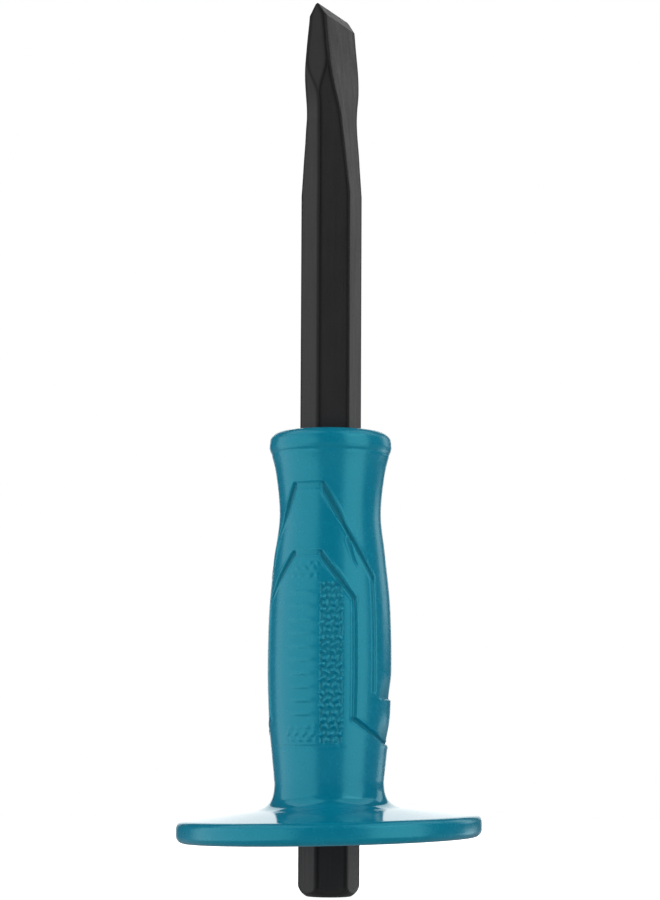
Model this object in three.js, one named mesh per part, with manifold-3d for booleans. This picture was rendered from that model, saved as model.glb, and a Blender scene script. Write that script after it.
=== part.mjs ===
// Flat cold chisel with a hand guard: one forged hexagonal bar inside one soft moulding.
// Millimetres. The origin is the centre of the struck face, +Z runs along the bar to the
// cutting edge, +X runs along the cutting edge, and +Y looks at a broad face of the blade.
import * as THREE from 'three';
import { mergeVertices } from 'three/addons/utils/BufferGeometryUtils.js';
import Module from 'manifold-3d';

const wasm = await Module();
wasm.setup();

const { clamp, degToRad, lerp, smoothstep } = THREE.MathUtils;

// ---- Driving dimensions -------------------------------------------------------------

const LENGTH = 300;
const ACROSS_FLATS = 18;
const BLADE_WIDTH = 25;

const GUARD_DIAMETER = 102;
const GUARD_UNDERSIDE = 18.7;
const GRIP_TOP = 155;
const BORE_CLEARANCE = 0.3;

const BAR_SEGMENTS = 48;
const GRIP_SEGMENTS = 48;

// ---- Bar: hexagonal shank, drawn-out wedge and ground edge ----------------------------

const CORNER_RADIUS = ACROSS_FLATS / Math.sqrt(3);
const CORNER_EASE = 0.35;

const STRUCK_FACE_RADIUS = 7.4;
const STRUCK_CROWN_HEIGHT = 3.8;
const STRUCK_CROWN_BULGE = 0.9;

const WEDGE_START = LENGTH - 64;
const SPREAD_START = LENGTH - 39;
const SIDE_FACE_START = SPREAD_START + 8;
const SPREAD_END = SPREAD_START + 19;
const SIDE_FACE_END = SPREAD_START + 21;
const SPREAD_STATIONS = 14;

const BEVEL_START = LENGTH - 4.2;
const BEVEL_THICKNESS = 6.1;
const EDGE_LAND = 0.3;
const EDGE_CORNER = 0.6;

// Distance between the two broad faces at height z.
function bladeThickness(z) {
  if (z <= WEDGE_START) return ACROSS_FLATS;
  const taper = (ACROSS_FLATS - BEVEL_THICKNESS) / (BEVEL_START - WEDGE_START);
  if (z <= BEVEL_START) return ACROSS_FLATS - taper * (z - WEDGE_START);
  const along = (z - BEVEL_START) / (LENGTH - BEVEL_START);
  return lerp(BEVEL_THICKNESS, EDGE_LAND, along);
}

// Half width of a broad face: the wedge planes cut the hexagon first, then the face spreads.
function faceHalfWidth(z) {
  const hexagon = CORNER_RADIUS * (1 - bladeThickness(z) / (2 * ACROSS_FLATS));
  return lerp(hexagon, BLADE_WIDTH / 2 - CORNER_EASE, smoothstep(z, SPREAD_START, SPREAD_END));
}

// Half of the full width, from eased corner to eased corner of the hexagon, then the blade.
function fullHalfWidth(z) {
  const easedCorner = CORNER_RADIUS - CORNER_EASE / Math.sqrt(3);
  const halfWidth = lerp(easedCorner, BLADE_WIDTH / 2, smoothstep(z, SPREAD_START, SPREAD_END));
  return z < LENGTH ? halfWidth : halfWidth - EDGE_CORNER;
}

// Half height of the narrow side face, which grows out of the hexagon's eased corner.
function sideHalfHeight(z) {
  const full = Math.max(bladeThickness(z) / 2 - CORNER_EASE, EDGE_LAND / 4);
  return lerp(CORNER_EASE, full, smoothstep(z, SIDE_FACE_START, SIDE_FACE_END));
}

// Eight corners: two on each broad face and two on each narrow side.
function barSection(z) {
  const side = fullHalfWidth(z);
  const face = Math.min(faceHalfWidth(z), side - CORNER_EASE);
  const faceHeight = bladeThickness(z) / 2;
  const sideHeight = sideHalfHeight(z);
  const upper = [[side, sideHeight], [face, faceHeight], [-face, faceHeight], [-side, sideHeight]];
  const lower = upper.map(([x, y]) => [-x, -y]);
  return [...upper, ...lower].map(([x, y]) => new THREE.Vector3(x, y, z));
}

function barStations() {
  const spreadStep = (SIDE_FACE_END - SPREAD_START) / SPREAD_STATIONS;
  const spread = Array.from({ length: SPREAD_STATIONS + 1 }, (_, i) => SPREAD_START + i * spreadStep);
  return [0, WEDGE_START, ...spread, BEVEL_START, LENGTH - EDGE_CORNER, LENGTH];
}

// The struck end is turned: a rounded crown from the flat striking face out to the corners.
// Above the crown the envelope flares, so it leaves the rest of the bar whole.
function struckEndEnvelope() {
  const crown = new THREE.QuadraticBezierCurve(
    new THREE.Vector2(STRUCK_FACE_RADIUS, 0),
    new THREE.Vector2(CORNER_RADIUS - STRUCK_CROWN_BULGE, STRUCK_CROWN_HEIGHT / 4),
    new THREE.Vector2(CORNER_RADIUS, STRUCK_CROWN_HEIGHT),
  ).getPoints(4);
  const outline = [
    new THREE.Vector2(0, 0),
    ...crown,
    new THREE.Vector2(BLADE_WIDTH, WEDGE_START),
    new THREE.Vector2(BLADE_WIDTH, LENGTH + 1),
    new THREE.Vector2(0, LENGTH + 1),
  ];
  return lathe(outline, BAR_SEGMENTS);
}

function chiselBar() {
  return loft(barStations().map(barSection)).intersect(struckEndEnvelope());
}

// ---- Grip: sleeve and guard disc in one moulding ----------------------------------------

// Sleeve outline from the band above the guard to the flared mouth, as [radius, height].
const SLEEVE_POINTS = [
  [19.5, 49.8], [20.2, 57.8], [20.75, 75], [20.3, 96],
  [18.5, 114], [17.05, 127.5], [18.4, 141.5], [20.6, 149.8],
];
const MOUTH_RADIUS = SLEEVE_POINTS.at(-1)[0];
const MOUTH_ROUNDING = 3.8;
const SLEEVE_STEPS = 20;

const BAND_RADIUS = 18.3;
const BAND_HEIGHT = 37.8;
const GUARD_ROOT_RADIUS = 26;
const GUARD_ROOT_HEIGHT = 28.8;
const RIM_TOP = 26.1;
const RIM_ROUNDING = 2.6;

const sleeveOutline = new THREE.SplineCurve(SLEEVE_POINTS.map(([r, z]) => new THREE.Vector2(r, z)));
const sleeveSamples = sleeveOutline.getPoints(SLEEVE_STEPS);

// Radius of the sleeve at height z, read along its sampled outline.
function sleeveRadius(z) {
  const above = sleeveSamples.findIndex((point, i) => i > 0 && point.y >= z);
  const lower = sleeveSamples[above - 1];
  const upper = sleeveSamples[above];
  return lerp(lower.x, upper.x, clamp((z - lower.y) / (upper.y - lower.y), 0, 1));
}

function arc(x, y, radius, from, to, steps) {
  const curve = new THREE.EllipseCurve(x, y, radius, radius, degToRad(from), degToRad(to), to < from);
  return curve.getPoints(steps);
}

function gripOutline() {
  const rim = GUARD_DIAMETER / 2;
  const rimCentre = rim - RIM_ROUNDING;
  const mouthCentre = MOUTH_RADIUS - MOUTH_ROUNDING;
  const rootFillet = new THREE.CubicBezierCurve(
    new THREE.Vector2(BAND_RADIUS, BAND_HEIGHT),
    new THREE.Vector2(BAND_RADIUS, GUARD_ROOT_HEIGHT + 3),
    new THREE.Vector2(BAND_RADIUS + 2, GUARD_ROOT_HEIGHT + 0.6),
    new THREE.Vector2(GUARD_ROOT_RADIUS, GUARD_ROOT_HEIGHT),
  ).getPoints(6).reverse();
  return [
    new THREE.Vector2(0, GUARD_UNDERSIDE),
    ...arc(rimCentre, GUARD_UNDERSIDE + RIM_ROUNDING, RIM_ROUNDING, -90, 0, 4),
    ...arc(rimCentre, RIM_TOP - RIM_ROUNDING, RIM_ROUNDING, 0, 85, 4),
    ...rootFillet,
    ...sleeveSamples,
    ...arc(mouthCentre, GRIP_TOP - MOUTH_ROUNDING, MOUTH_ROUNDING, 15, 90, 4),
    new THREE.Vector2(0, GRIP_TOP),
  ];
}

// Relief cut into the sleeve. A section is a list of [offset across the path, height above the
// sleeve], and a path is a list of [degrees from the panel's centre, height along the bar].
const GROOVE_SECTION = [[-1.4, 0.5], [-0.5, -1.1], [0.5, -1.1], [1.4, 0.5]];
const LEDGE_SECTION = [[0, 0.6], [0, -1.2], [6.5, 0.05], [6.5, 0.6]];
const PANEL_CENTRE = 180;
const LONGEST_TURN = 7.5;
const LONGEST_RISE = 8;

const OUTER_CHEVRON = [[-74, 65.5], [-74, 105.7], [-18, 136.4], [18, 136.4], [74, 105.7], [74, 65.5]];
const INNER_CHEVRON = [
  [-112, 50.4], [-91, 51.3], [-67, 54.8], [-49.5, 58.7], [-49.5, 98.3], [-15, 113.8],
  [15, 113.8], [49.5, 98.3], [49.5, 58.7], [67, 54.8], [91, 51.3], [112, 50.4],
];
const TONGUE_LEDGE = [[74, 65.5], [286, 65.5]];
const SKIRT_LEDGE = [[100, 50.1], [260, 50.1]];

function subdivide(path) {
  const fine = [path[0]];
  for (let i = 1; i < path.length; i += 1) {
    const [fromAngle, fromHeight] = path[i - 1];
    const [toAngle, toHeight] = path[i];
    const turnSteps = Math.abs(toAngle - fromAngle) / LONGEST_TURN;
    const riseSteps = Math.abs(toHeight - fromHeight) / LONGEST_RISE;
    const steps = Math.ceil(Math.max(turnSteps, riseSteps));
    for (let step = 1; step <= steps; step += 1) {
      const along = step / steps;
      fine.push([
        lerp(fromAngle, toAngle, along),
        lerp(fromHeight, toHeight, along),
      ]);
    }
  }
  return fine;
}

// A bar of the given section, wrapped round the sleeve along a path.
function wrappedCutter(path, section) {
  const flat = subdivide(path).map(([angle, z]) => ({ arc: degToRad(angle) * sleeveRadius(z), angle, z }));
  const rings = flat.map((point, i) => {
    const before = flat[Math.max(i - 1, 0)];
    const after = flat[Math.min(i + 1, flat.length - 1)];
    const along = new THREE.Vector2(after.arc - before.arc, after.z - before.z).normalize();
    return section.map(([across, height]) => {
      const z = point.z + across * along.x;
      const turn = degToRad(point.angle + PANEL_CENTRE) - across * along.y / sleeveRadius(point.z);
      const radius = sleeveRadius(z) + height;
      return new THREE.Vector3(radius * Math.cos(turn), radius * Math.sin(turn), z);
    });
  });
  return loft(rings);
}

function hexagonalBore() {
  const corner = (ACROSS_FLATS / 2 + BORE_CLEARANCE) / Math.cos(Math.PI / 6);
  const ring = (z) => Array.from({ length: 6 }, (_, i) => {
    const turn = i * Math.PI / 3;
    return new THREE.Vector3(corner * Math.cos(turn), corner * Math.sin(turn), z);
  });
  return loft([ring(0), ring(LENGTH)]);
}

function handGuardGrip() {
  const cuts = [
    wrappedCutter(OUTER_CHEVRON, GROOVE_SECTION),
    wrappedCutter(INNER_CHEVRON, GROOVE_SECTION),
    wrappedCutter(TONGUE_LEDGE, LEDGE_SECTION),
    wrappedCutter(SKIRT_LEDGE, LEDGE_SECTION),
    hexagonalBore(),
  ];
  return cuts.reduce((body, cut) => body.subtract(cut), lathe(gripOutline(), GRIP_SEGMENTS));
}

// ---- Solids ---------------------------------------------------------------------------------

function toSolid(geometry) {
  geometry.deleteAttribute('normal');
  geometry.deleteAttribute('uv');
  const merged = mergeVertices(geometry, 1e-5);
  const index = merged.index.array;
  const triangles = [];
  for (let i = 0; i < index.length; i += 3) {
    const [a, b, c] = index.slice(i, i + 3);
    if (a !== b && b !== c && c !== a) triangles.push(a, b, c);
  }
  return new wasm.Manifold(new wasm.Mesh({
    numProp: 3,
    vertProperties: merged.attributes.position.array,
    triVerts: new Uint32Array(triangles),
  }));
}

function lathe(outline, segments) {
  return toSolid(new THREE.LatheGeometry(outline, segments).rotateX(Math.PI / 2));
}

// A closed solid through rings of equally many points, capped flat at both ends.
function loft(rings) {
  const count = rings[0].length;
  const triangles = [];
  for (let ring = 0; ring < rings.length - 1; ring += 1) {
    for (let i = 0; i < count; i += 1) {
      const a = ring * count + i;
      const b = ring * count + (i + 1) % count;
      triangles.push(a, b, b + count, a, b + count, a + count);
    }
  }
  const last = (rings.length - 1) * count;
  for (let i = 1; i < count - 1; i += 1) {
    triangles.push(0, i + 1, i, last, last + i, last + i + 1);
  }
  const geometry = new THREE.BufferGeometry().setFromPoints(rings.flat());
  geometry.setIndex(triangles);
  return toSolid(geometry);
}

function namedMesh(name, solid, material) {
  const { vertProperties, triVerts } = solid.getMesh();
  const geometry = new THREE.BufferGeometry();
  geometry.setAttribute('position', new THREE.BufferAttribute(vertProperties, 3));
  geometry.setIndex(new THREE.BufferAttribute(triVerts, 1));
  geometry.computeVertexNormals();
  const mesh = new THREE.Mesh(geometry, material);
  mesh.name = name;
  return mesh;
}

function blackenedSteel() {
  return new THREE.MeshStandardMaterial({ color: 0x2b2b2e, roughness: 0.42, metalness: 0.6 });
}

function tealRubber() {
  return new THREE.MeshStandardMaterial({ color: 0x1f7f9c, roughness: 0.45, metalness: 0 });
}

const chisel = new THREE.Group();
chisel.add(
  namedMesh('chisel_bar', chiselBar(), blackenedSteel()),
  namedMesh('hand_guard_grip', handGuardGrip(), tealRubber()),
);

export default chisel;
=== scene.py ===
"""Cold chisel with a moulded hand guard: the fine meshes, materials, light and camera built
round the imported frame. Shapes are in millimetres, and the camera and the lamps in metres."""
import math

import bpy
import numpy as np
from mathutils import Euler, Matrix, Vector


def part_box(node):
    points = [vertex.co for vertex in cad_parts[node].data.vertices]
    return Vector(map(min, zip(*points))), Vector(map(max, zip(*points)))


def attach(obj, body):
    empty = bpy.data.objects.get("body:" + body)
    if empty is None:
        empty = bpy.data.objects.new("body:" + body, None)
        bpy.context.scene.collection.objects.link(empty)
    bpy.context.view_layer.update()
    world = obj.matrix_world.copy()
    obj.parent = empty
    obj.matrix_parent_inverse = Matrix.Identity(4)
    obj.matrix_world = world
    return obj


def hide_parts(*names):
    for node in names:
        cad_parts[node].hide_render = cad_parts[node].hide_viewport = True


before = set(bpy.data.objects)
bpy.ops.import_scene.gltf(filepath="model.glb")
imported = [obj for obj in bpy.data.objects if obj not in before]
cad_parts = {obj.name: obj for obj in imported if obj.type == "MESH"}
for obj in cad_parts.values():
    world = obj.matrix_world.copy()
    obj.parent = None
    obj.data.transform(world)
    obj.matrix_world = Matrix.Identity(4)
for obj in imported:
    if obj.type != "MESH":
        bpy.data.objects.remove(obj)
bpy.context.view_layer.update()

MM = 0.001

bar_low, bar_high = (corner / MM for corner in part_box("chisel_bar"))
grip_low, grip_high = (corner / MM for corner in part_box("hand_guard_grip"))

LENGTH = bar_high.z
ACROSS_FLATS = bar_high.y - bar_low.y
BLADE_WIDTH = bar_high.x - bar_low.x
GUARD_RADIUS = (grip_high.x - grip_low.x) / 2
GUARD_UNDERSIDE = grip_low.z
GRIP_TOP = grip_high.z


# ---- Shapes in numbers ---------------------------------------------------------------------

def smoothstep(x, low, high):
    t = np.clip((x - low) / (high - low), 0, 1)
    return t * t * (3 - 2 * t)


def ridge(distance, half_width):
    """1 on a line, falling smoothly to 0 at half_width from it."""
    return 1 - smoothstep(np.abs(distance), 0, half_width)


def lerp(a, b, share):
    return a + (b - a) * share


def arc(centre_x, centre_z, radius, start, end, steps):
    turn = np.radians(np.linspace(start, end, steps + 1))
    return np.stack([centre_x + radius * np.cos(turn), centre_z + radius * np.sin(turn)], 1)


def bezier(points, steps):
    """A quadratic or cubic curve through its first and last points."""
    t = np.linspace(0, 1, steps + 1)[:, None]
    layer = [np.array(point, float) for point in points]
    while len(layer) > 1:
        layer = [a * (1 - t) + b * t for a, b in zip(layer, layer[1:])]
    return layer[0]


def through(points, steps_each=12):
    """A Catmull-Rom curve through points."""
    knots = np.array([points[0], *points, points[-1]], float)
    t = np.linspace(0, 1, steps_each, endpoint=False)[:, None]
    pieces = []
    for before, start, end, after in zip(knots, knots[1:], knots[2:], knots[3:]):
        slope_in = (end - before) / 2
        slope_out = (after - start) / 2
        cubic = 2 * start - 2 * end + slope_in + slope_out
        square = -3 * start + 3 * end - 2 * slope_in - slope_out
        pieces.append(start + slope_in * t + square * t ** 2 + cubic * t ** 3)
    return np.concatenate([*pieces, knots[-1:]])


def distance_to_path(x, y, path):
    """Distance from each (x, y) to a line of straight stretches."""
    nearest = np.full(np.broadcast(x, y).shape, np.inf)
    for (x0, y0), (x1, y1) in zip(path, path[1:]):
        run, rise = x1 - x0, y1 - y0
        along = np.clip(((x - x0) * run + (y - y0) * rise) / (run ** 2 + rise ** 2), 0, 1)
        nearest = np.minimum(nearest, np.hypot(x - x0 - along * run, y - y0 - along * rise))
    return nearest


def grid_mesh(name, points, wrap_rows, crease_degrees, values=None):
    """A closed piece through a grid of points in mm. Columns go round; rows either go round
    too or end in flat caps. values are named numbers for each point, for the material."""
    rows, columns = points.shape[:2]
    index = np.arange(rows * columns).reshape(rows, columns)
    lower = index if wrap_rows else index[:-1]
    upper = np.roll(index, -1, axis=0)[:len(lower)]
    quads = np.stack([lower, np.roll(lower, -1, 1), np.roll(upper, -1, 1), upper], -1)
    faces = quads.reshape(-1, 4).tolist()
    if not wrap_rows:
        faces += [index[0, ::-1].tolist(), index[-1].tolist()]
    mesh = bpy.data.meshes.new(name)
    mesh.from_pydata((points.reshape(-1, 3) * MM).tolist(), [], faces)
    for attribute, numbers in (values or {}).items():
        layer = mesh.attributes.new(attribute, "FLOAT", "POINT")
        layer.data.foreach_set("value", np.ascontiguousarray(numbers, np.float32).ravel())
    mesh.shade_smooth()
    mesh.set_sharp_from_angle(angle=math.radians(crease_degrees))
    mesh.validate()
    piece = bpy.data.objects.new(name, mesh)
    bpy.context.scene.collection.objects.link(piece)
    return piece


# ---- Bar: struck end, hexagonal shank, drawn-out wedge, ground edge ---------------------------

CORNER_RADIUS = ACROSS_FLATS / math.sqrt(3)
CORNER_EASE = 0.35

STRUCK_FACE_RADIUS = 7.4
STRUCK_FACE_RIM = 0.5
STRUCK_CROWN_HEIGHT = 3.8
STRUCK_CROWN_BULGE = 0.9

WEDGE_START = LENGTH - 64
SPREAD_START = LENGTH - 39
SIDE_FACE_START = SPREAD_START + 8
SPREAD_END = SPREAD_START + 19
SIDE_FACE_END = SPREAD_START + 21
BEVEL_START = LENGTH - 4.2
BEVEL_THICKNESS = 6.1
EDGE_LAND = 0.3
EDGE_CORNER = 0.6

SHANK_ROUNDING = 0.75
BLADE_ROUNDING = 0.85
MOST_ROUNDING = 0.28
BLADE_EASE = 0.75
CORNER_SHADE_REACH = 0.9
CROWN_DARKENING = 0.5
FORGED_WAVE = 0.07
FORGED_WAVE_END = 2
BAR_CREASE = 26


def blade_thickness(z):
    heights = [WEDGE_START, BEVEL_START, LENGTH]
    return np.interp(z, heights, [ACROSS_FLATS, BEVEL_THICKNESS, EDGE_LAND])


def bar_corners(z):
    """The section's eight corners: two on each broad face and two on each narrow side."""
    half_thickness = blade_thickness(z) / 2
    spread = smoothstep(z, SPREAD_START, SPREAD_END)
    blade_ease = min(BLADE_EASE, half_thickness / 4)
    ease = lerp(CORNER_EASE, blade_ease, smoothstep(z, SPREAD_START, SPREAD_END))
    side = lerp(CORNER_RADIUS - CORNER_EASE / math.sqrt(3), BLADE_WIDTH / 2, spread)
    side -= EDGE_CORNER * smoothstep(z, LENGTH - EDGE_CORNER, LENGTH)
    hexagon_face = CORNER_RADIUS * (1 - half_thickness / ACROSS_FLATS)
    face = min(lerp(hexagon_face, BLADE_WIDTH / 2 - ease, spread), side - ease)
    full_side = max(half_thickness - ease, EDGE_LAND / 4)
    side_height = lerp(CORNER_EASE, full_side, smoothstep(z, SIDE_FACE_START, SIDE_FACE_END))
    upper = [(side, side_height), (face, half_thickness)]
    upper += [(-x, y) for x, y in reversed(upper)]
    return np.array(upper + [(-x, -y) for x, y in upper])


def rounded_ring(corners, rounding, arc_steps=5, edge_steps=10):
    """The corners joined by rounded turns. Points crowd towards the turns.
    Also gives each point's closeness to a turn, from 0 to 1."""
    points, closeness = [], []
    spacing = (1 - np.cos(np.linspace(0, np.pi, edge_steps + 1)[1:-1])) / 2
    ahead = np.roll(corners, -1, 0) - corners
    ahead /= np.linalg.norm(ahead, axis=1)[:, None]
    outward = np.stack([ahead[:, 1], -ahead[:, 0]], 1)
    turns = []
    for corner, before, after in zip(corners, np.roll(outward, 1, 0), outward):
        centre = corner - rounding * (before + after) / (1 + before @ after)
        start = math.atan2(before[1], before[0])
        sweep = math.acos(np.clip(before @ after, -1, 1))
        turn = start + np.linspace(0, sweep, arc_steps + 1)
        turns.append(centre + rounding * np.stack([np.cos(turn), np.sin(turn)], 1))
    for turn, following in zip(turns, turns[1:] + turns[:1]):
        edge = turn[-1] + (following[0] - turn[-1]) * spacing[:, None]
        gap = np.linalg.norm(following[0] - turn[-1]) * np.minimum(spacing, 1 - spacing)
        points += [turn, edge]
        # Painted shade: closeness to a turn sets how far the corners darken.
        closeness += [np.ones(len(turn)), 1 - smoothstep(gap, 0, CORNER_SHADE_REACH)]
    return np.concatenate(points), np.concatenate(closeness)


def bar_stations():
    """Heights along the bar, with the turned crown's radius at each."""
    crown = bezier([
        (STRUCK_FACE_RADIUS, 0),
        (CORNER_RADIUS - STRUCK_CROWN_BULGE, STRUCK_CROWN_HEIGHT / 4),
        (CORNER_RADIUS, STRUCK_CROWN_HEIGHT),
    ], 10)
    face_rim = [(STRUCK_FACE_RADIUS - STRUCK_FACE_RIM, 0)]
    plain = np.concatenate([
        np.linspace(STRUCK_CROWN_HEIGHT, WEDGE_START, 60)[1:],
        np.linspace(WEDGE_START, BEVEL_START, 66)[1:],
        np.linspace(BEVEL_START, LENGTH, 9)[1:],
    ])
    whole = [(BLADE_WIDTH, z) for z in plain]
    return [*face_rim, *map(tuple, crown), *whole]


def bar_rounding(z):
    """The rounding of the corners, at most a share of the blade's half thickness."""
    blade = min(BLADE_ROUNDING, MOST_ROUNDING * blade_thickness(z) / 2)
    return lerp(SHANK_ROUNDING, blade, smoothstep(z, WEDGE_START, SPREAD_END))


def forged_wave(x, y, z):
    """A shallow unevenness left by the hammer on the drawn-out part."""
    above_shank = smoothstep(z, WEDGE_START, SPREAD_START)
    below_bevel = 1 - smoothstep(z, BEVEL_START - FORGED_WAVE_END, BEVEL_START)
    wave = np.sin(z / 3.1 + 0.5 * x) * np.cos(z / 5.3 - 0.3 * y)
    return FORGED_WAVE * above_shank * below_bevel * wave


def build_bar():
    rings, darkening = [], []
    for limit, z in bar_stations():
        ring, closeness = rounded_ring(bar_corners(z), bar_rounding(z))
        reach = np.linalg.norm(ring, axis=1)
        turned = np.minimum(1, limit / reach)
        swell = 1 + forged_wave(ring[:, 0], ring[:, 1], z) / reach
        rings.append(np.column_stack([ring * (turned * swell)[:, None], np.full(len(ring), z)]))
        # Painted shade on the corners by their closeness to a turn; the struck end's crown is
        # darkened by a fixed share.
        darkening.append(np.where(turned < 1, CROWN_DARKENING, closeness))
    values = {"edge": np.array(darkening)}
    return grid_mesh("chisel_bar_forging", np.array(rings), False, BAR_CREASE, values)


# ---- Grip: sleeve and guard disc in one moulding ------------------------------------------------

SLEEVE_POINTS = [
    (19.5, 49.8), (20.2, 57.8), (20.75, 75), (20.3, 96),
    (18.5, 114), (17.05, 127.5), (18.4, 141.5), (20.6, 149.8),
]
SLEEVE_BASE = SLEEVE_POINTS[0][1]
MOUTH_RADIUS, MOUTH_HEIGHT = SLEEVE_POINTS[-1]
MOUTH_ROUNDING = 3.8
ROW_PITCH = 0.34
FRONT_STEPS = 190
BACK_STEPS = 54
RELIEF_FADE = 2
GRIP_CREASE = 40

BAND_RADIUS = 18.3
BAND_HEIGHT = 37.8
GUARD_ROOT_RADIUS = 26
GUARD_ROOT_HEIGHT = 28.8
RIM_TOP = 26.1
RIM_ROUNDING = 2.6
GUARD_SLANT = 1.5
GUARD_LOW_SIDE = 115

BORE_APOTHEM = ACROSS_FLATS / 2 + 0.05
BORE_CORNER = BORE_APOTHEM / math.cos(math.radians(30))
BORE_ROUNDING = 0.7

PANEL_CENTRE = 180
FRONT_HALF_ANGLE = 85
ARC_RADIUS = 20

GROOVE_DEPTH = 0.85
GROOVE_WALL = 0.65
LIP_HEIGHT = 0.17
LIP_DISTANCE = 0.25
LIP_HALF_WIDTH = 0.5
BARELY_CUT = -0.02
THIN_GROOVE = 0.22
OUTER_WIDE_GROOVE = 0.75
INNER_WIDE_GROOVE = 0.55
TOP_LINE_SHARE = 0.3
UPRIGHT_SHARE = 0.55
FADE_BEFORE_TURN = 3
FADE_AFTER_TURN = 1

# Paths of (degrees from the panel's centre, height), and the heights between which they widen.
OUTER_CHEVRON = [
    (-71, 67.7), (-71, 105.7), (-16.5, 135.8), (16.5, 135.8), (71, 105.7), (71, 67.7),
]
OUTER_WIDENS = (122, 127)
INNER_CHEVRON = [
    (-48.5, 58.7), (-48.5, 98.3), (-15, 113.2), (15, 113.2), (48.5, 98.3), (48.5, 58.7),
]
INNER_WIDENS = (101, 106)
SHOULDER_LINE = [(43.5, 118), (50, 111), (56.5, 106.5)]
SHOULDER_LINE_DEPTH = 0.4
SHOULDER_LINE_FADE = 5

# The skirt's ledge and the tongue's, which start on the sleeve's sides and meet at its back.
SKIRT = [(48.5, 58.7), (67, 54.8), (91, 51.3), (112, 50.4), (180, 50.1)]
SKIRT_STARTS = (70, 96)
TONGUE_HEIGHT = 65.5
TONGUE_STARTS = (72, 94)
LEDGE_DEPTH = 0.85
LEDGE_RISE = 10
STEP_BELOW = 0.35
STEP_ABOVE = 0.1

PANEL_FOOT = 49.6
PANEL_FOOT_DEPTH = 0.15
PANEL_FOOT_HALF_WIDTH = 0.8
PANEL_FOOT_ENDS = (34, 44)
MOUTH_LINE = 147.6
MOUTH_LINE_DEPTH = 0.16
MOUTH_LINE_HALF_WIDTH = 0.9

PEBBLE_PITCH = 3.0
ROW_SHARE = 0.75
PEBBLE_HEIGHT = 0.85
SMALL_PEBBLE_HEIGHT = 0.22
STRIP_DEPTH = 0.6

# Pebbled areas: degrees from and to, heights from and to, then how far the sides and ends fade.
STRIP = (15, 37.5, 50.2, 104, 1.5, 1)
FOOT_PATCH = (-22, 14, 50.6, 57.5, 3, 1.5)
PEAK_PATCH = (-16, 15, 104, 111, 3, 1.5)

RIB_COUNT = 10
RIB_PITCH = 4.4
RIB_FIRST = 60.5
RIB_HALF_LENGTH = 4.4
RIB_HALF_HEIGHT = 1.3
RIB_TAPER = 3.2
RIB_RISE = 0.27
RIB_ANGLE = -3


def grip_angles():
    """Degrees from the panel's centre, close together across the panel."""
    front = np.linspace(-FRONT_HALF_ANGLE, FRONT_HALF_ANGLE, FRONT_STEPS, endpoint=False)
    back = np.linspace(FRONT_HALF_ANGLE, 360 - FRONT_HALF_ANGLE, BACK_STEPS, endpoint=False)
    return np.concatenate([front, back])


def bore_radius(degrees):
    """The hexagonal bore, with its corners on the X axis rounded like the bar's."""
    from_corner = np.radians((degrees + 30) % 60 - 30)
    flat = BORE_APOTHEM / np.cos(math.radians(30) - np.abs(from_corner))
    centre = BORE_CORNER * (1 - BORE_ROUNDING / BORE_APOTHEM)
    inside = BORE_ROUNDING ** 2 - (centre * np.sin(from_corner)) ** 2
    rounded = centre * np.cos(from_corner) + np.sqrt(np.maximum(inside, 0))
    in_corner = np.abs(from_corner) < math.atan2(BORE_ROUNDING / 2, BORE_CORNER)
    return np.where(in_corner, rounded, flat)


def sleeve_rows():
    outline = through(SLEEVE_POINTS)
    heights = np.arange(SLEEVE_BASE, MOUTH_HEIGHT, ROW_PITCH)
    return np.stack([np.interp(heights, outline[:, 1], outline[:, 0]), heights], 1)


def grip_rows():
    """The moulding's outline as rows of (radius, height, share). A share of 1 is round and a
    share of 0 follows the hexagonal bore."""
    rim_centre = GUARD_RADIUS - RIM_ROUNDING
    mouth_centre = MOUTH_RADIUS - MOUTH_ROUNDING
    fillet = bezier([
        (GUARD_ROOT_RADIUS, GUARD_ROOT_HEIGHT), (BAND_RADIUS + 2, GUARD_ROOT_HEIGHT + 0.6),
        (BAND_RADIUS, GUARD_ROOT_HEIGHT + 3), (BAND_RADIUS, BAND_HEIGHT),
    ], 18)
    band_heights = np.linspace(BAND_HEIGHT, SLEEVE_BASE, 26)[1:-1]
    sleeve_base_radius = SLEEVE_POINTS[0][0]
    band_ends = [BAND_HEIGHT, SLEEVE_BASE]
    band_radii = np.interp(band_heights, band_ends, [BAND_RADIUS, sleeve_base_radius])
    guard_top = np.stack([
        np.linspace(rim_centre, GUARD_ROOT_RADIUS, 22)[1:-1],
        np.linspace(RIM_TOP, GUARD_ROOT_HEIGHT, 22)[1:-1],
    ], 1)
    outside = np.concatenate([
        arc(rim_centre, GUARD_UNDERSIDE + RIM_ROUNDING, RIM_ROUNDING, -90, 0, 7),
        arc(rim_centre, RIM_TOP - RIM_ROUNDING, RIM_ROUNDING, 0, 85, 7),
        guard_top,
        fillet,
        np.stack([band_radii, band_heights], 1),
        sleeve_rows(),
        arc(mouth_centre, GRIP_TOP - MOUTH_ROUNDING, MOUTH_ROUNDING, 20, 90, 8),
    ])
    underside_shares = (0.012, 0.03, 0.15, 0.3, 0.5, 0.7, 0.9)
    top_shares = (0.9, 0.7, 0.45, 0.25, 0.1)
    underside = [(rim_centre, GUARD_UNDERSIDE, share) for share in underside_shares]
    top = [(mouth_centre, GRIP_TOP, share) for share in top_shares]
    lip = [(mouth_centre, GRIP_TOP - 0.15, 0.03), (mouth_centre, GRIP_TOP - 0.6, 0)]
    bore = [(mouth_centre, z, 0) for z in np.linspace(GRIP_TOP - 8, GUARD_UNDERSIDE + 0.5, 9)]
    rows = underside + [(r, z, 1) for r, z in outside] + top + lip + bore
    return np.array(rows)


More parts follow.
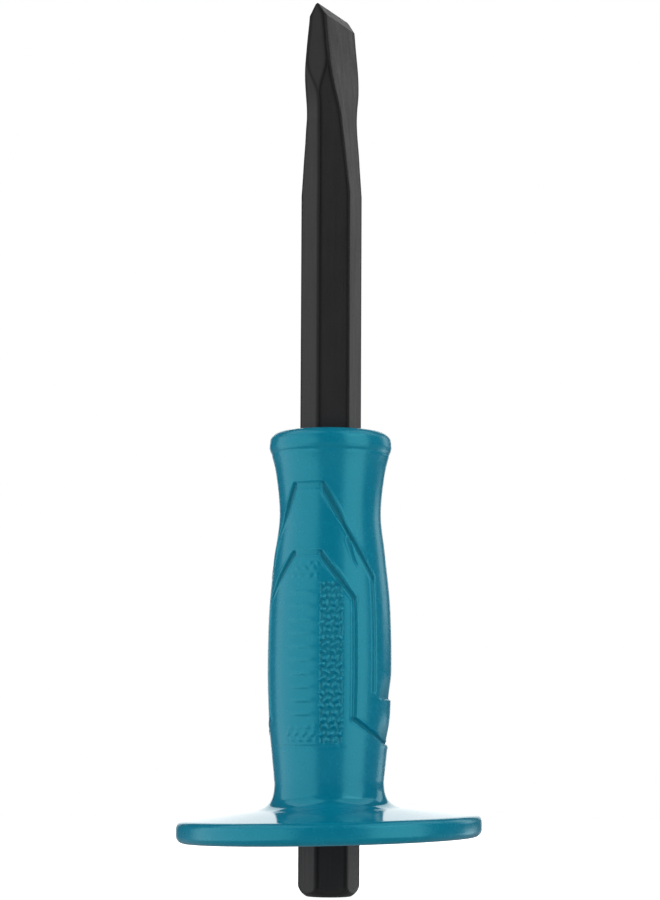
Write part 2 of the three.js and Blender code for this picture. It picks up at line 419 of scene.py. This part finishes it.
def groove(distance, half_width, depth):
    """A flat-bottomed groove with sloping walls and slightly raised lips."""
    cut = 1 - smoothstep(distance, half_width, half_width + GROOVE_WALL)
    lip = ridge(distance - half_width - GROOVE_WALL - LIP_DISTANCE, LIP_HALF_WIDTH)
    return (lip * LIP_HEIGHT / GROOVE_DEPTH - cut) * depth


def in_arc(path):
    return [(math.radians(angle) * ARC_RADIUS, z) for angle, z in path]


def past_turn(x, turn):
    """0 before a path's turn and 1 after it, in degrees or in height."""
    return smoothstep(x, turn - FADE_BEFORE_TURN, turn + FADE_AFTER_TURN)


def chevron(across, around, z, path, widens, wide_half_width):
    """A grooved chevron: wide near its peak, thin lower down, and faint across the top and
    down its upright sides."""
    knee_height = path[1][1]
    top_angle = path[3][0]
    half_width = lerp(THIN_GROOVE, wide_half_width, smoothstep(z, *widens))
    beside_top = lerp(TOP_LINE_SHARE, 1, past_turn(around, top_angle))
    above_knee = lerp(UPRIGHT_SHARE, 1, past_turn(z, knee_height))
    depth = GROOVE_DEPTH * beside_top * above_knee
    return groove(distance_to_path(across, z, in_arc(path)), half_width, depth)


def pebbles(across, z):
    """Uneven domes in staggered rows, from 0 to 1."""
    across = across + 0.3 * np.sin(1.7 * z) + 0.2 * np.sin(0.9 * z + 2)
    z = z + 0.3 * np.sin(1.9 * across + 0.4 * z)
    row_pitch = PEBBLE_PITCH * ROW_SHARE
    row = np.round(z / row_pitch)
    shift = (row % 2) * PEBBLE_PITCH / 2
    off_across = (across - shift + PEBBLE_PITCH / 2) % PEBBLE_PITCH - PEBBLE_PITCH / 2
    off_height = z - row * row_pitch
    reach = np.hypot(off_across, off_height * 1.15) / (PEBBLE_PITCH / 2)
    return 1 - smoothstep(reach, 0.1, 1)


def window(x, low, high, soft):
    """1 between low and high, fading to 0 at both."""
    return smoothstep(x, low, low + soft) * (1 - smoothstep(x, high - soft, high))


def patch(turn, z, area):
    """1 inside a pebbled area, fading to 0 at its sides and ends."""
    left, right, low, high, side_fade, end_fade = area
    return window(turn, left, right, side_fade) * window(z, low, high, end_fade)


def ribs(across, z):
    """Short raised bars across the panel, fading out at both ends."""
    centre = math.radians(RIB_ANGLE) * ARC_RADIUS
    number = np.clip(np.round((z - RIB_FIRST) / RIB_PITCH), 0, RIB_COUNT - 1)
    past_middle = np.abs(across - centre) - RIB_HALF_LENGTH
    fade = 1 - smoothstep(past_middle, -RIB_TAPER, RIB_TAPER / 2)
    return RIB_RISE * fade * ridge(z - RIB_FIRST - number * RIB_PITCH, RIB_HALF_HEIGHT)


def ledge(z, edge):
    """The surface slopes in above an edge and steps back out below it."""
    slope = 1 - smoothstep(z, edge, edge + LEDGE_RISE)
    return -LEDGE_DEPTH * slope * smoothstep(z, edge - STEP_BELOW, edge + STEP_ABOVE)


def relief(degrees, z):
    """Height of the moulded relief on the sleeve, in mm, at an angle from the panel's centre."""
    turn = (degrees + 180) % 360 - 180
    across = np.radians(turn) * ARC_RADIUS
    around = np.abs(turn)
    away = np.abs(across)
    above_shoulder = z - SHOULDER_LINE[-1][1]
    shoulder_depth = SHOULDER_LINE_DEPTH * smoothstep(above_shoulder, 0, SHOULDER_LINE_FADE)
    grooves = [
        chevron(across, around, z, OUTER_CHEVRON, OUTER_WIDENS, OUTER_WIDE_GROOVE),
        chevron(across, around, z, INNER_CHEVRON, INNER_WIDENS, INNER_WIDE_GROOVE),
        groove(distance_to_path(away, z, in_arc(SKIRT[:4])), THIN_GROOVE, GROOVE_DEPTH),
        groove(distance_to_path(away, z, in_arc(SHOULDER_LINE)), 0, shoulder_depth),
    ]
    deepest = np.minimum.reduce(grooves)
    height = np.where(deepest < BARELY_CUT, deepest, np.maximum.reduce(grooves))
    skirt_angles, skirt_heights = zip(*SKIRT)
    tongue = ledge(z, TONGUE_HEIGHT) * smoothstep(around, *TONGUE_STARTS)
    skirt_height = np.interp(around, skirt_angles, skirt_heights)
    skirt = ledge(z, skirt_height) * smoothstep(around, *SKIRT_STARTS)
    height += np.minimum(tongue, skirt)
    domes = pebbles(across, z)
    small_pebbles = np.maximum(patch(turn, z, FOOT_PATCH), patch(turn, z, PEAK_PATCH))
    height += patch(turn, z, STRIP) * (domes * PEBBLE_HEIGHT - STRIP_DEPTH)
    height += small_pebbles * domes * SMALL_PEBBLE_HEIGHT
    height += ribs(across, z)
    on_foot = 1 - smoothstep(around, *PANEL_FOOT_ENDS)
    height -= PANEL_FOOT_DEPTH * ridge(z - PANEL_FOOT, PANEL_FOOT_HALF_WIDTH) * on_foot
    height -= MOUTH_LINE_DEPTH * ridge(z - MOUTH_LINE, MOUTH_LINE_HALF_WIDTH)
    return height


def build_grip():
    degrees = grip_angles()
    rows = grip_rows()
    radius, height, share = (rows[:, [i]] for i in range(3))
    on_sleeve = window(height, BAND_HEIGHT, MOUTH_HEIGHT, RELIEF_FADE) * share
    raised = relief(degrees[None, :], height) * on_sleeve
    from_x_axis = degrees + PANEL_CENTRE
    reach = lerp(bore_radius(from_x_axis)[None, :], radius, share) + raised
    turn = np.radians(from_x_axis)[None, :]
    on_guard = 1 - smoothstep(height, GUARD_ROOT_HEIGHT, SLEEVE_BASE)
    toward_low_side = reach * np.cos(turn - math.radians(GUARD_LOW_SIDE))
    drop = math.tan(math.radians(GUARD_SLANT)) * on_guard * toward_low_side
    points = np.stack([reach * np.cos(turn), reach * np.sin(turn), height - drop], -1)
    above_rim = smoothstep(height, RIM_TOP - 1, RIM_TOP)
    polish = above_rim * (1 - smoothstep(height, GUARD_ROOT_HEIGHT, BAND_HEIGHT))
    values = {"relief": raised, "polish": np.broadcast_to(polish, reach.shape)}
    return grid_mesh("hand_guard_moulding", points, True, GRIP_CREASE, values)


# ---- Materials -----------------------------------------------------------------------------------

OXIDE_DARK = (0.025, 0.0246, 0.026, 1)
OXIDE_LIGHT = (0.04, 0.039, 0.0395, 1)
# Near black, mixed in as painted shade on the corners and, half as much, on the struck end's crown.
PAINTED_CORNER_SHADE = (0.005, 0.005, 0.005, 1)

TEAL_DARK = (0.002, 0.25, 0.39, 1)
TEAL_LIGHT = (0.003, 0.275, 0.425, 1)
TEAL_SPOT = (0.005, 0.3, 0.455, 1)
# Painted shade for the grooves and the recessed pebbled strip.
TEAL_GROOVE_SHADE = (0.001, 0.14, 0.22, 1)
TEAL_RAISED_TONE = (0.03, 0.35, 0.47, 1)
TEAL_SHEEN = (0.22, 0.96, 1, 1)

STUDIO_DIM = (0.05, 0.05, 0.053, 1)
TABLE_GLOW = (0.3, 0.3, 0.3, 1)
WHITE = (1, 1, 1, 1)


def add_node(tree, kind, inputs=(), **settings):
    """A node with its settings, and its inputs as (socket, value or another node's output)."""
    made = tree.nodes.new(kind)
    for name, value in settings.items():
        setattr(made, name, value)
    for socket, value in inputs:
        if isinstance(value, bpy.types.NodeSocket):
            tree.links.new(value, made.inputs[socket])
        else:
            made.inputs[socket].default_value = value
    return made


def new_material(name):
    material = bpy.data.materials.new(name)
    material.use_nodes = True
    return material, material.node_tree, material.node_tree.nodes["Principled BSDF"]


def noise(tree, scale, detail=3.0, stretch=(1, 1, 1)):
    """Noise from 0 to 1 in the piece's own metres: scale is cells per metre."""
    place = add_node(tree, "ShaderNodeTexCoord").outputs["Object"]
    mapped = add_node(tree, "ShaderNodeMapping", [("Vector", place), ("Scale", stretch)])
    texture = add_node(tree, "ShaderNodeTexNoise", [
        ("Vector", mapped.outputs["Vector"]), ("Scale", scale), ("Detail", detail),
    ])
    return texture.outputs["Fac"]


def number_map(tree, value, from_range, to_range):
    made = add_node(tree, "ShaderNodeMapRange", [
        ("Value", value), ("From Min", from_range[0]), ("From Max", from_range[1]),
        ("To Min", to_range[0]), ("To Max", to_range[1]),
    ])
    return made.outputs["Result"]


def blend_colours(tree, share, first, second):
    """The Mix node's colours are its inputs 6 and 7, and the mixed colour is its output 2."""
    made = add_node(tree, "ShaderNodeMix", [(0, share), (6, first), (7, second)], data_type="RGBA")
    return made.outputs[2]


def combine(tree, operation, first, second):
    made = add_node(tree, "ShaderNodeMath", [(0, first), (1, second)], operation=operation)
    return made.outputs[0]


def attribute(tree, name):
    return add_node(tree, "ShaderNodeAttribute", attribute_name=name).outputs["Fac"]


def bump(tree, height, distance, strength=1.0):
    made = add_node(tree, "ShaderNodeBump", [
        ("Height", height), ("Distance", distance), ("Strength", strength),
    ])
    return made.outputs["Normal"]


def blackened_steel():
    """Black oxide on forged steel: satin, drawn along the bar, duller on the corners, and darker
    there as painted shade.
    """
    material, tree, shader = new_material("blackened_steel")
    streaks = noise(tree, 900, 4, (1, 1, 0.04))
    clouds = noise(tree, 60, 5)
    scale_marks = noise(tree, 700, 6)
    oxide = blend_colours(tree, clouds, OXIDE_DARK, OXIDE_LIGHT)
    edge = attribute(tree, "edge")
    # Painted shade: the oxide darkens towards near black on the corners and the crown.
    colour = blend_colours(tree, number_map(tree, edge, (0, 1), (0, 0.8)), oxide, PAINTED_CORNER_SHADE)
    open_surface = number_map(tree, streaks, (0.3, 0.7), (0.27, 0.38))
    roughness = combine(tree, "ADD", open_surface, number_map(tree, edge, (0, 1), (0, 0.12)))
    tree.links.new(colour, shader.inputs["Base Color"])
    tree.links.new(roughness, shader.inputs["Roughness"])
    surface = combine(tree, "ADD", streaks, combine(tree, "MULTIPLY", scale_marks, 1.5))
    tree.links.new(bump(tree, surface, 0.00003), shader.inputs["Normal"])
    shader.inputs["Specular IOR Level"].default_value = 0.2
    return material


def teal_moulding():
    """Semi-gloss moulded rubber: fine grain, slight colour drift, duller in the grooves and darker
    in them as painted shade, lighter on the raised relief.
    """
    material, tree, shader = new_material("teal_moulding")
    drift = noise(tree, 22, 3)
    mottle = noise(tree, 420, 4)
    grain = noise(tree, 2600, 2)
    height = attribute(tree, "relief")
    spots = number_map(tree, mottle, (0.35, 0.7), (0, 0.35))
    # Painted shade: the colour darkens with the depth of the relief.
    hollow_shade = number_map(tree, height, (-0.15, -0.9), (0, 0.6))
    # Lighter colour on the raised relief, growing with its height.
    tops = number_map(tree, height, (0.05, 0.4), (0, 0.35))
    plain = blend_colours(tree, drift, TEAL_DARK, TEAL_LIGHT)
    mottled = blend_colours(tree, spots, plain, TEAL_SPOT)
    shaded_colour = blend_colours(tree, hollow_shade, mottled, TEAL_GROOVE_SHADE)
    with_lighter_tops = blend_colours(tree, tops, shaded_colour, TEAL_RAISED_TONE)
    open_surface = number_map(tree, mottle, (0.3, 0.7), (0.23, 0.29))
    extra_in_hollows = number_map(tree, height, (-0.1, -0.9), (0, 0.25))
    satin = combine(tree, "ADD", open_surface, extra_in_hollows)
    polished = number_map(tree, attribute(tree, "polish"), (0, 1), (1, 0.4))
    tree.links.new(with_lighter_tops, shader.inputs["Base Color"])
    tree.links.new(combine(tree, "MULTIPLY", satin, polished), shader.inputs["Roughness"])
    fine_grain = combine(tree, "MULTIPLY", grain, polished)
    tree.links.new(bump(tree, fine_grain, 0.000012), shader.inputs["Normal"])
    shader.inputs["Specular IOR Level"].default_value = 1.0
    shader.inputs["Specular Tint"].default_value = TEAL_SHEEN
    return material


def finish_piece(piece, material, node):
    piece.data.materials.append(material)
    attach(piece, "root")
    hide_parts(node)


# ---- Studio ---------------------------------------------------------------------------------------

CAMERA_AZIMUTH = 295
CAMERA_DISTANCE = 0.778
CAMERA_HEIGHT = 0.0511
CAMERA_LENS = 92.8
CAMERA_PITCH = 4.1
CAMERA_ROLL = 0.25
CAMERA_SHIFT = 0.14
LIT_POINT = Vector((0, 0, 0.15))

# Each lamp: degrees from the camera, then in metres its distance, width, height and the height
# of its centre, and last its brightness.
LAMPS = {
    "softbox_left": (-72, 1.0, 2.1, 1.1, 0.15, 1.07),
    "softbox_right": (52, 1.0, 0.87, 1.3, 0.25, 1.35),
    "high_left": (-75, 0.75, 1.6, 0.9, 1.1, 0.85),
    "high_right": (75, 0.75, 1.6, 0.9, 1.1, 0.85),
    "behind_right": (130, 1.1, 0.4, 0.6, 0.45, 1.1),
    "behind_low": (130, 1.1, 0.4, 0.3, -0.17, 1.3),
    "behind": (180, 1.3, 0.9, 1.2, 0.4, 1.4),
}

FLOOR_RADIUS = 800
FLOOR_THICKNESS = 4
FLOOR_SIDES = 96
FLOOR_CREASE = 30


def toward(azimuth):
    """The level direction from the object to a viewer at that azimuth."""
    turn = math.radians(azimuth)
    return Vector((math.sin(turn), -math.cos(turn), 0))


def build_camera():
    camera = bpy.data.objects.new("camera", bpy.data.cameras.new("camera"))
    bpy.context.scene.collection.objects.link(camera)
    camera.data.lens = CAMERA_LENS
    camera.data.shift_y = CAMERA_SHIFT
    camera.location = toward(CAMERA_AZIMUTH) * CAMERA_DISTANCE + Vector((0, 0, CAMERA_HEIGHT))
    level = Euler((math.radians(90 + CAMERA_PITCH), 0, math.radians(CAMERA_AZIMUTH))).to_matrix()
    rolled = level @ Matrix.Rotation(math.radians(CAMERA_ROLL), 3, "Z")
    camera.rotation_euler = rolled.to_euler()
    bpy.context.scene.camera = camera


def build_lamp(name, around, distance, width, height, centre_height, brightness):
    """A flat light, as bright as a white surface at that brightness."""
    light = bpy.data.lights.new(name, "AREA")
    light.shape = "RECTANGLE"
    light.size = width
    light.size_y = height
    light.energy = brightness * math.pi * width * height
    lamp = bpy.data.objects.new(name, light)
    place = toward(CAMERA_AZIMUTH + around) * distance
    lamp.location = place + Vector((0, 0, centre_height))
    lamp.rotation_euler = (LIT_POINT - lamp.location).to_track_quat("-Z", "Y").to_euler()
    lamp.visible_camera = False
    bpy.context.scene.collection.objects.link(lamp)


def emitting_paper(strength):
    material, tree, shader = new_material("lit_paper")
    shader.inputs["Base Color"].default_value = (0.9, 0.9, 0.9, 1)
    shader.inputs["Roughness"].default_value = 0.9
    shader.inputs["Emission Color"].default_value = WHITE
    shader.inputs["Emission Strength"].default_value = strength
    return material


def build_floor():
    """A round white table top under the chisel."""
    turn = np.linspace(0, 2 * np.pi, FLOOR_SIDES, endpoint=False)
    edge = [FLOOR_RADIUS * np.cos(turn), FLOOR_RADIUS * np.sin(turn)]
    rings = [np.stack([*edge, np.full(FLOOR_SIDES, z)], -1) for z in (-FLOOR_THICKNESS, 0)]
    floor = grid_mesh("floor", np.array(rings), False, FLOOR_CREASE)
    floor.data.materials.append(emitting_paper(1.0))
    floor.visible_diffuse = False
    floor.visible_glossy = False
    floor.visible_shadow = False


def build_world():
    """Dim for the lights to model the shape, lighter below where a pale table would glow, and
    plain white where the camera sees it."""
    world = bpy.data.worlds.new("studio")
    bpy.context.scene.world = world
    world.use_nodes = True
    tree = world.node_tree
    background = tree.nodes["Background"]
    seen = add_node(tree, "ShaderNodeLightPath").outputs["Is Camera Ray"]
    direction = add_node(tree, "ShaderNodeTexCoord").outputs["Generated"]
    height = add_node(tree, "ShaderNodeSeparateXYZ", [("Vector", direction)]).outputs["Z"]
    below = number_map(tree, height, (-0.3, 0), (1, 0))
    colour = blend_colours(tree, seen, blend_colours(tree, below, STUDIO_DIM, TABLE_GLOW), WHITE)
    tree.links.new(colour, background.inputs["Color"])


def build_studio():
    build_camera()
    for name, lamp in LAMPS.items():
        build_lamp(name, *lamp)
    build_floor()
    build_world()
    bpy.context.scene.view_settings.view_transform = "Standard"


build_studio()
finish_piece(build_bar(), blackened_steel(), "chisel_bar")
finish_piece(build_grip(), teal_moulding(), "hand_guard_grip")
